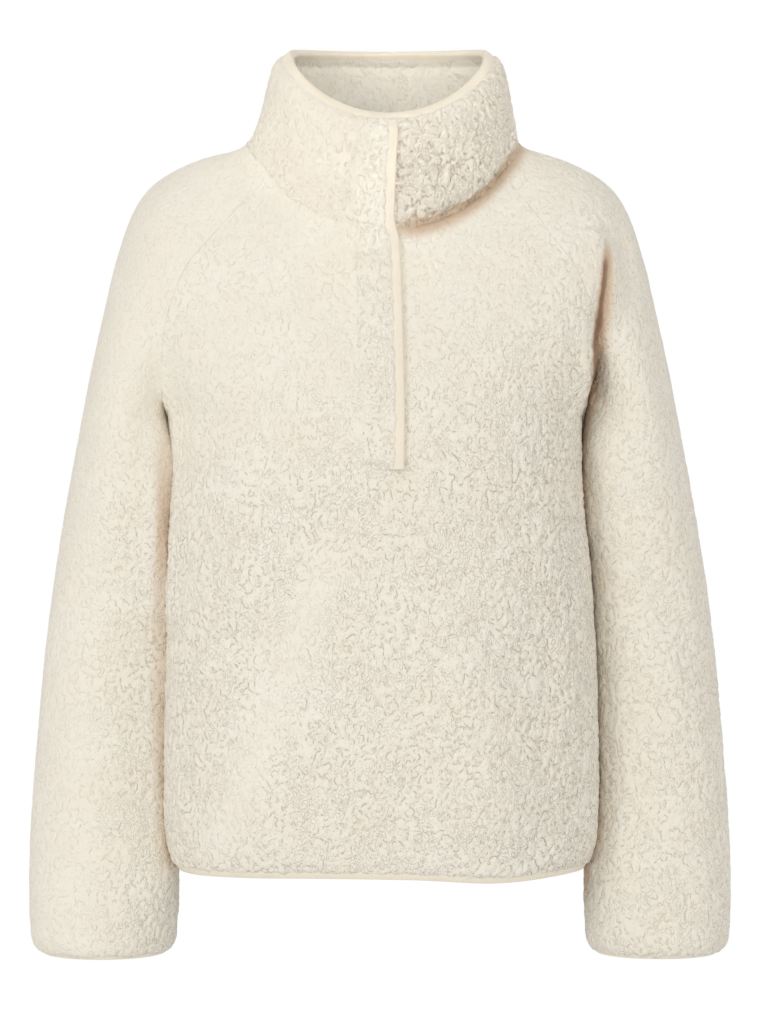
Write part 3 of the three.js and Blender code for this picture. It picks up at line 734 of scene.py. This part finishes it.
# The pile fills the crease between body and collar, least where the collar slumps over it
FILL_MOST, FILL_LEAST = 26, 8
turn = np.degrees(np.arctan2(base[:, 1] - NECK["y"], base[:, 0] - NECK["x"]))
slumped = smooth(turn, -95, -72) * (1 - smooth(turn, -20, 25))
fill_reach = lerp(FILL_MOST, FILL_LEAST, slumped)
crease_lift = (unit(band[2] - band[0]) - base_climb) * (fill_reach / 4)[:, None]
shared_facing = unit(base_facing + band_facing[0])


def at_neck(edge, from_seam, facing):
    """Near the neck's seam: the facing of both sides, how far the pile fills the crease, and the slump."""
    nearest = np.array([np.argmin(((base - place) ** 2).sum(axis=1)) for place in edge])
    near = np.clip(1 - from_seam / fill_reach[nearest], 0, 1)[..., None]
    turned = unit(lerp(facing, shared_facing[nearest], near * near * (3 - 2 * near)))
    return turned, crease_lift[nearest] * near * near, slumped[nearest]


SEWN = {
    "front": panel("front"), "left": sleeve("left"), "back": panel("back"), "right": sleeve("right")
}


def side_seams(name, q):
    """Along a piece's side edges: the facing shared with what is sewn on, and how the pile rounds the seam."""
    def edges(other):
        p = SEWN[other](q, np.array([[-1, -0.985, 0.985, 1]]))
        outward = unit(np.stack([p[:, 0] - p[:, 1], p[:, 3] - p[:, 2]], axis=1))
        return np.stack([facing_of(p)[:, [0, -1]], outward])

    order = list(SEWN)
    k = order.index(name)
    above = np.stack([edges(order[k - 1])[:, :, 1], edges(order[(k + 1) % 4])[:, :, 0]], axis=2)
    below = edges({"front": "back", "back": "front"}.get(name, name))[:, :, ::-1]
    own, other = edges(name), np.where((q > 1)[..., None], above, below)
    off_junction = smooth(np.abs(q - 1), 0.02, 0.15)[..., None]
    return unit(own[0] + other[0]), -(own[1] + other[1]) * off_junction * SEAM_ROUND / 4


PILE_DEPTH = 3.0
COLLAR_PILE = 3.8
FACING_PILE = 2.0
LAP, LAP_DEPTH = 3.0, 1.2  # how far the collar's lowest row runs down under the body's pile
SEAM_ROUND = 16  # from a seam, where the pile begins to round it
SEAM_RISE = 1.3  # of the pile over the cloth's plain form
OVER_TAPE = 2.0  # rise of the pile above the tape that it hangs over
OVER_TAPE_RUN = 3.5
SEAM_TAPER, HEM_TAPER = (1, 14), (9, 24)  # from an edge, where the wall thickens
# Shade under the collar where it slumps: its strength and its reach, on the body and on the collar
UNDER_COLLAR = dict(body=0.85, body_reach=11, collar=0.6, collar_reach=8, all_over=0.14)


def panel_piece(name, side, cells, rows, bound_depth, tape_shown, openness, painted_shade):
    """A body panel or sleeve: its lower edge is bound with tape and its other edges are seams."""
    columns = np.linspace(-1, 1, cells + 1)[None]
    q = even_steps(SEWN[side], 0, 2, rows)[:, None]
    p = SEWN[side](q, columns)
    flat, area = flat_size(p)
    hem, neck, left, right = from_edges(p)
    facing = facing_of(p)
    shared, rounding = side_seams(side, q)
    rounding *= smooth(from_line(p[:, [0, -1]], ARM_LINE), 12, 45)[..., None]
    rounded = np.zeros_like(p)
    for k, gap in ((0, left), (1, right)):
        near = np.clip(1 - gap / SEAM_ROUND, 0, 1)[..., None]
        facing = unit(lerp(facing, shared[:, k:k + 1], near * near * (3 - 2 * near)))
        rounded += rounding[:, k:k + 1] * near * near
    facing, fill, open_seam = at_neck(p[-1], neck, facing)
    seam = np.minimum(np.minimum(left, right), neck)
    run = left - hem * 0.2
    uneven = 0.9 * np.sin(run / 7.1) * np.sin(run / 3.3 + 1) + 0.6 * np.sin(run / 1.9)
    shown = bound_depth * tape_shown
    over_tape = smooth(hem + uneven, shown, shown + OVER_TAPE_RUN)
    rise = SEAM_RISE * lerp(1, smooth(neck, 0, 7), open_seam)
    rise = rise + OVER_TAPE * over_tape * (1 - smooth(hem, bound_depth + 4, bound_depth + 22))
    shaped = p + facing * rise[..., None] + fill + rounded
    wall = lerp(SEAM_WALL, FLEECE_WALL, smooth(seam, *SEAM_TAPER))
    wall = np.minimum(wall, lerp(BOUND_WALL, FLEECE_WALL, smooth(hem, *HEM_TAPER)))
    nap = over_tape * lerp(1, lerp(0.4, 1, smooth(neck, 0, 3)), open_seam)
    # Painted shade on the body under the collar where it slumps
    under_collar = np.exp(-((neck / UNDER_COLLAR["body_reach"]) ** 2))
    under_collar = UNDER_COLLAR["body"] * open_seam * under_collar
    shade = np.maximum(painted_shade(p, columns), under_collar)
    piece = put(name, cloth_mesh(name, shaped, facing, wall, nap, openness(p), shade))
    raise_pile(piece, PILE_DEPTH)
    area = min(area, flat[0] * flat[1])
    finish_piece(piece, name.removesuffix("_cloth"))


# Line of the crease under the wearer's left arm and of the gap below it, and how far its shade spreads on the
# sleeve
ARM_CREASE = table(
    "z x width",
    (-640, 187, 5),
    (-535, 186.5, 5),
    (-395, 180, 5),
    (-290, 175, 5),
    (-250, 176, 6),
    (-218, 181, 8),
    (-175, 182, 11),
    (-136, 187, 11),
    (-80, 192.4, 4),
)
ARM_CREASE_BODY = 2.5  # how far the shade spreads on the body


def beside_crease(p):
    """Painted shade: 1 on the crease under the wearer's left arm, falling off on the sleeve's side."""
    line = row_at(ARM_CREASE, "z", p[..., 2])
    gap = p[..., 0] - line["x"]
    gap = np.where(gap < 0, gap / ARM_CREASE_BODY, gap / line["width"])
    ends = smooth(p[..., 2], -640, -590) * (1 - smooth(p[..., 2], -110, -76))
    return np.exp(-gap * gap) * ends * (1 - smooth(p[..., 1], -10, 20))


# Line of the gap beside the wearer's right sleeve, how far its shade spreads on the sleeve, and its strength
RIGHT_GAP = table(
    "z x width by",
    (-645, 183, 8, 0),
    (-613, 184, 9, 0.5),
    (-520, 190, 10, 0.46),
    (-482, 192, 9, 0.4),
    (-395, 191, 9, 0.36),
    (-340, 189, 7, 0.6),
    (-300, 188, 8, 0.5),
    (-260, 187, 12, 0.3),
    (-200, 187, 14, 0.12),
    (-160, 187, 14, 0),
)


def left_sleeve_shade(p, u):
    """Painted shade: 1 on the side of the wearer's left sleeve that lies against the body."""
    low = (1 - smooth(p[..., 2], -230, -190)) * smooth(p[..., 2], -690, -610)
    return np.maximum(smooth(np.abs(u), 0.82, 0.94) * low, beside_crease(p))


# Painted shade along the gap beside the wearer's right sleeve
def right_sleeve_shade(p, u):
    line = row_at(RIGHT_GAP, "z", p[..., 2])
    gap = np.maximum(-p[..., 0] - line["x"], 0) / line["width"]
    return line["by"] * np.exp(-gap * gap)


# Line beside the placket's tape, and how strong the shade is there
TAPE_SHADE = table(
    "z x by",
    (-290, 18, 0),
    (-270, 17.5, 0.4),
    (-250, 17, 0.3),
    (-200, 16.5, 0.12),
    (-140, 15.5, 0.2),
    (-115, 15, 0.42),
    (-85, 13.5, 0.3),
)
TAPE_SHADE_WIDTH = 2


def body_shade(p, u):
    """Painted shade: 1 on the sides of the body that lie against the sleeves, and also along the crease under
    the wearer's left arm and beside the placket's tape.
    """
    deep = smooth(np.abs(u), 0.95, 1) * (1 - smooth(p[..., 2], -240, -200)) * smooth(p[..., 2], -625, -580)
    line = row_at(TAPE_SHADE, "z", p[..., 2])
    beside_tape = np.exp(-(((p[..., 0] - line["x"]) / TAPE_SHADE_WIDTH) ** 2)) * (p[..., 1] < 0)
    beside_arm = beside_crease(p) * smooth(p[..., 2], -235, -210)
    return np.maximum(np.maximum(0.6 * deep, beside_arm), line["by"] * beside_tape)


# A band across the belly where the pile is combed smooth
COMBED = ((-45, -361), (-133, -598))
COMBED_WIDTH = 20


def body_open(p):
    """The pile lies flat over the chest and stands open below it, most at the wearer's left."""
    x, z = p[..., 0], p[..., 2]
    low = smooth(-z + 0.3 * x, 130, 340)
    combed = np.exp(-((from_line(p[..., [0, 2]], COMBED) / COMBED_WIDTH) ** 2)) * (p[..., 1] < 0)
    chest, belly = 0.36 + 0.1 * smooth(x, 0, 150), 0.8 + 0.25 * smooth(x, 60, 170)
    return lerp(chest, belly, low) - 0.4 * low * combed


def right_open(p):
    return lerp(0.28, lerp(0.36, 0.72, smooth(p[..., 0], -270, -205)), smooth(-p[..., 2], 180, 400))


def left_open(p):
    return lerp(0.44, 0.66, smooth(-p[..., 2], 60, 560))


panel_piece("front_panel_cloth", "front", 280, 304, HEM_TAPE, 0.55, body_open, body_shade)
panel_piece("back_panel_cloth", "back", 272, 312, HEM_TAPE, 0.55, body_open, body_shade)
panel_piece("sleeve_left_cloth", "left", 208, 388, CUFF_TAPE, 0.2, left_open, left_sleeve_shade)
panel_piece("sleeve_right_cloth", "right", 208, 388, CUFF_TAPE, 0.2, right_open, right_sleeve_shade)


def collar_piece(name, p, facing, wall, under, over, open_seam, openness, tape_shown, pile, painted_shade):
    flat, area = flat_size(p)
    over_tape = smooth(over, COLLAR_TAPE * tape_shown, COLLAR_TAPE * tape_shown + 4)
    nap = over_tape * lerp(1, lerp(0.6, 1, smooth(under, 0, 3)), open_seam)
    rise = SEAM_RISE * lerp(1, smooth(under, 0, 6), open_seam)
    rise = rise + 1.2 * over_tape * (1 - smooth(over, COLLAR_TAPE + 4, COLLAR_TAPE + 20))
    piece = put(name, cloth_mesh(name, p + facing * rise[..., None], facing, wall, nap, openness, painted_shade))
    raise_pile(piece, pile)
    area = min(area, flat[0] * flat[1])
    finish_piece(piece, name.removesuffix("_cloth"))


# How open the collar's pile is, by angle round the neck
COLLAR_OPEN = table(
    "turn by",
    (-181, 0.5),
    (-130, 0.5),
    (-108, 0.6),
    (-97, 0.8),
    (-85, 1.2),
    (-40, 1.25),
    (0, 0.8),
    (60, 0.6),
    (181, 0.5),
)
collar_open = row_at(COLLAR_OPEN, "turn", turn)["by"]
collar_open = lerp(collar_open, np.minimum(collar_open, 0.8), smooth(shares, 0.55, 0.85))
collar_facing, collar_fill, collar_slumped = at_neck(base, up, band_facing)
outside = band + collar_fill
outside[0] -= LAP * base_climb + LAP_DEPTH * shared_facing
# Painted shade on the collar where it slumps over its seam, and a little of the same painted shade all over the
# collar
under_slump = np.exp(-((up / UNDER_COLLAR["collar_reach"]) ** 2))
under_slump = UNDER_COLLAR["all_over"] + slumped * UNDER_COLLAR["collar"] * under_slump
collar_piece(
    "collar_cloth", outside, collar_facing, collar_wall, up, down, collar_slumped, collar_open, 0.68,
    COLLAR_PILE, under_slump,
)
low = int(round(FACING_FROM * COLLAR_ROWS / 4)) * 4 + 4
inner = (band - band_facing * (2 * collar_wall + SEAM_GAP)[..., None])[low:, ::-1]
collar_piece(
    "collar_facing_cloth", inner, -band_facing[low:, ::-1], collar_wall[low:, ::-1], up[low:, ::-1] + 20,
    down[low:, ::-1], 1.0, 0.5, 0.3, FACING_PILE, 0.0,
)

# Placket strip
STRIP_CELLS, STRIP_ROWS = 32, 232
STRIP_EASING = 60  # rounds of smoothing, so that the strip bridges the neck's crease
DIMPLE_SHARE = 1.3
strip_x = np.linspace(STRIP["x"][0], STRIP["x"][-1], STRIP_CELLS + 1)[None]
strip_low = (STRIP_LEVEL - BODY["z"][0]) / (BODY["z"][-1] - BODY["z"][0])
strip_ends = STRIP["x"][0], STRIP["x"][-1]
strip_r = even_steps(strip_point, strip_low, 2 + STRIP_TOP_SHARE, STRIP_ROWS, strip_ends)[:, None]
under = strip_point(strip_r, strip_x)
for _ in range(STRIP_EASING):
    under[1:-1] = (under[:-2] + 2 * under[1:-1] + under[2:]) / 4
strip_facing = facing_of(under)
across = row_at(STRIP, "x", strip_x)
strip_high = from_edges(under)[1]
pressed = lerp(0.4, 1, smooth(strip_high, 0, 12))
strip_p = under + strip_facing * ((across["lift"] + across["wall"]) * pressed)[..., None]
strip_wall = np.broadcast_to(across["wall"], strip_p.shape[:2])


def make_strip():
    flat, area = flat_size(strip_p)
    low, high, sewn, free = from_edges(strip_p)
    dip = np.zeros(strip_p.shape[:2])
    for x, z, radius, depth in zip(*STRIP_DIMPLES.values()):
        gap = np.hypot(strip_p[..., 0] - x, strip_p[..., 2] - z) / radius
        dip += DIMPLE_SHARE * depth * np.exp(-gap * gap)
    run = strip_p[..., 2]
    uneven = 0.5 + 0.5 * np.sin(run / 13) * np.sin(run / 7.3 + 1)
    dip += 1.8 * uneven * np.exp(-((sewn / 3) ** 2)) + 1.4 * np.exp(-((low / 4) ** 2))
    ragged = 0.5 * np.sin(run / 5.3) * np.sin(run / 17) + 0.4 * np.sin(run / 2.3)
    over_tape = smooth(free + ragged, 4.4, 7.2)
    low_end = (1 - smooth(low, 0, 9)) * smooth(free, 9, 16)
    held = np.maximum(1 - smooth(sewn, 0, 11), low_end)
    sunk = (across["lift"] + across["wall"] + 0.6) * held * pressed
    puff = (1.4 + 1.6 * (1 - smooth(free, 9, 17))) * over_tape
    shaped = strip_p + strip_facing * (puff - dip - sunk)[..., None]
    strip_thick = np.maximum(strip_wall + puff - np.clip(dip, 0, 2.5) * 0.8 - sunk, 1.0)
    name = "placket_strip_cloth"
    piece = put(name, cloth_mesh(name, shaped, strip_facing, strip_thick, over_tape, 0.6))
    raise_pile(piece, PILE_DEPTH)
    finish_piece(piece, "placket_strip")


make_strip()


def tape_piece(name, place, facing, ends, edge_wall, depth, closed):
    """A tape folded over an edge: a channel with a rounded fold, swept along the edge."""
    near, far = TAPE_ROOM, TAPE_ROOM + TAPE_WALL
    fold = [math.radians(a) for a in range(0, 181, 30)]
    middle = -edge_wall / 2
    def bend(reach, rise, angles):
        return [(middle + (reach - middle) * math.cos(a), near * 0.3 + rise * math.sin(a)) for a in angles]

    outer, inner = bend(far, far - 0.1, fold), bend(near, near * 0.7, fold[::-1])
    leg = [(far - 0.35, -depth), (far + 0.05, -depth + 0.5), (far + 0.2, -depth * 0.55)]
    hidden = [(middle - (x - middle), y) for x, y in reversed(leg)]
    section = leg + outer + hidden + [(middle - (near - middle), -depth)] + inner + [(near, -depth)]
    n, m = len(place), len(section)
    wander = np.arange(n) * (2 * math.pi / n)
    slack = 0.35 * np.sin(23 * wander + 1.3) + 0.25 * np.sin(41 * wander + 0.4)
    rings = []
    for out, past in section:
        reach = past + (slack if past < -1 else 0 * slack)
        rings.append(place + facing * out + ends * reach[:, None])
    p = np.stack(rings, axis=1)
    index = np.arange(n * m).reshape(n, m)
    following = np.roll(index, -1, axis=0) if closed else index[1:]
    start = index if closed else index[:-1]
    quads = np.stack([start, following, np.roll(following, -1, axis=1), np.roll(start, -1, axis=1)], axis=-1)
    faces = quads.reshape(-1, 4).tolist()
    if not closed:
        faces += [index[0].tolist(), index[-1, ::-1].tolist()]
    mesh = bpy.data.meshes.new(name)
    mesh.from_pydata((p.reshape(-1, 3) * MM).tolist(), [], faces)
    mesh.shade_smooth()
    step = np.linalg.norm(np.diff(place, axis=0), axis=1)
    run = np.concatenate([[0], np.cumsum(step)])
    round_section = np.linalg.norm(np.diff(np.array(section), axis=0), axis=1)
    girth = np.concatenate([[0], np.cumsum(round_section)])
    uv = np.stack(np.broadcast_arrays(run[:, None], girth[None]), axis=-1).reshape(-1, 2) * MM
    corners = np.empty(len(mesh.loops), dtype=np.int32)
    mesh.loops.foreach_get("vertex_index", corners)
    mesh.uv_layers.new(name="along").data.foreach_set("uv", uv[corners].astype(np.float32).ravel())
    mesh.materials.append(tape)
    piece = put(name, mesh)
    length = run[-1] + (np.linalg.norm(place[0] - place[-1]) if closed else 0)
    width = 2 * depth + edge_wall + 2 * far
    flat = (width * MM, length * MM)
    finish_piece(piece, name.removesuffix("_cloth"))


def edge_of(p, facing, row, inward):
    """Places, facings and outward ends along one row of a grid."""
    ends = p[row] - p[inward]
    ends = unit(ends - facing[row] * (ends * facing[row]).sum(axis=-1, keepdims=True))
    return p[row], facing[row], ends


def joined(*edges):
    return [np.concatenate([edge[k][:-1] for edge in edges]) for k in range(3)]


def hem_edge(points, cells):
    q = np.array([[0.0], [0.02]])
    p = points(q, np.linspace(-1, 1, cells + 1)[None])
    return edge_of(p, facing_of(p), 0, 1)


hem = joined(hem_edge(panel("front"), 200), hem_edge(panel("back"), 200))
tape_piece("hem_tape_cloth", *hem, BOUND_WALL, HEM_TAPE, True)
for hand in ("left", "right"):
    cuff = joined(hem_edge(sleeve(hand), 160))
    tape_piece(f"cuff_tape_{hand}_cloth", *cuff, BOUND_WALL, CUFF_TAPE, True)
collar_top = edge_of(band, band_facing, -1, -6)
tape_piece("collar_tape_cloth", *collar_top, 2 * BOUND_WALL + SEAM_GAP, COLLAR_TAPE, True)
strip_rows = strip_p.transpose(1, 0, 2), strip_facing.transpose(1, 0, 2)
tape_piece("placket_tape_cloth", *edge_of(*strip_rows, -1, -6), BOUND_WALL, PLACKET_TAPE, False)


# Studio in metres: a pale floor below, a white surround, a broad light from the upper left, weaker ones from
# the front and the right, and a narrow one into the neck
FLOOR = dict(radius=0.7, z=-0.96, corners=96)
LIGHTS = [
    dict(name="key", place=(-2.1, -2.4, 0.3), aim=(0, 0, -0.3), size=1.2, power=22, spread=180),
    dict(name="front", place=(0.4, -3.0, -0.1), aim=(0, 0, -0.3), size=1.2, power=14, spread=180),
    dict(name="fill", place=(1.9, -2.0, 0.0), aim=(0, 0, -0.3), size=1.6, power=4, spread=180),
    dict(name="neck", place=(0.0, -0.9, 0.35), aim=(0, 0.075, 0.07), size=0.4, power=0.06, spread=13),
]
SURROUND = 0.7
CAMERA = dict(x=-0.0022, distance=2.7, z=-0.312, sensor=36, rows=1009, pixel=0.88 * MM)


def make_floor():
    mesh = bpy.data.meshes.new("floor")
    turns = np.linspace(0, 2 * math.pi, FLOOR["corners"], endpoint=False)
    ring = [(FLOOR["radius"] * math.cos(a), FLOOR["radius"] * math.sin(a), FLOOR["z"]) for a in turns]
    mesh.from_pydata(ring, [], [list(range(FLOOR["corners"]))])
    material, tree, shader = material_tree("pale_floor")
    shader.inputs["Base Color"].default_value = (0.9, 0.9, 0.9, 1)
    shader.inputs["Roughness"].default_value = 0.9
    mesh.materials.append(material)
    put("floor", mesh)


def make_light(name, place, aim, size, power, spread):
    lamp = bpy.data.lights.new(name, "AREA")
    lamp.shape, lamp.size, lamp.energy, lamp.spread = "DISK", size, power, math.radians(spread)
    light = bpy.data.objects.new(name, lamp)
    bpy.context.scene.collection.objects.link(light)
    light.location = place
    way = np.array(aim, float) - np.array(place, float)
    tilt = math.atan2(math.hypot(way[0], way[1]), -way[2])
    light.rotation_euler = (tilt, 0, math.atan2(way[1], way[0]) - math.pi / 2)


def make_surround(lighting):
    world = bpy.data.worlds.new("white_surround")
    bpy.context.scene.world = world
    world.use_nodes = True
    tree = world.node_tree
    tree.nodes.clear()
    start = Wire(tree)
    seen = start.new("ShaderNodeLightPath", None, None, "Is Camera Ray")
    strength = lighting + seen * (1.0 - lighting)
    light = start.new("ShaderNodeBackground", None, {"Color": (1, 1, 1, 1), "Strength": strength})
    out = tree.nodes.new("ShaderNodeOutputWorld")
    tree.links.new(light.socket, out.inputs[0])


def make_camera():
    lens = bpy.data.cameras.new("camera")
    lens.sensor_width = CAMERA["sensor"]
    lens.lens = CAMERA["sensor"] * CAMERA["distance"] / (CAMERA["rows"] * CAMERA["pixel"])
    lens.dof.use_dof = False
    lens.clip_start, lens.clip_end = 0.05, 50
    camera = bpy.data.objects.new("camera", lens)
    bpy.context.scene.collection.objects.link(camera)
    camera.location = (CAMERA["x"], -CAMERA["distance"], CAMERA["z"])
    camera.rotation_euler = (math.pi / 2, 0, 0)
    bpy.context.scene.camera = camera


make_floor()
for light in LIGHTS:
    make_light(**light)
make_surround(SURROUND)
make_camera()
bpy.context.scene.view_settings.view_transform = "Standard"
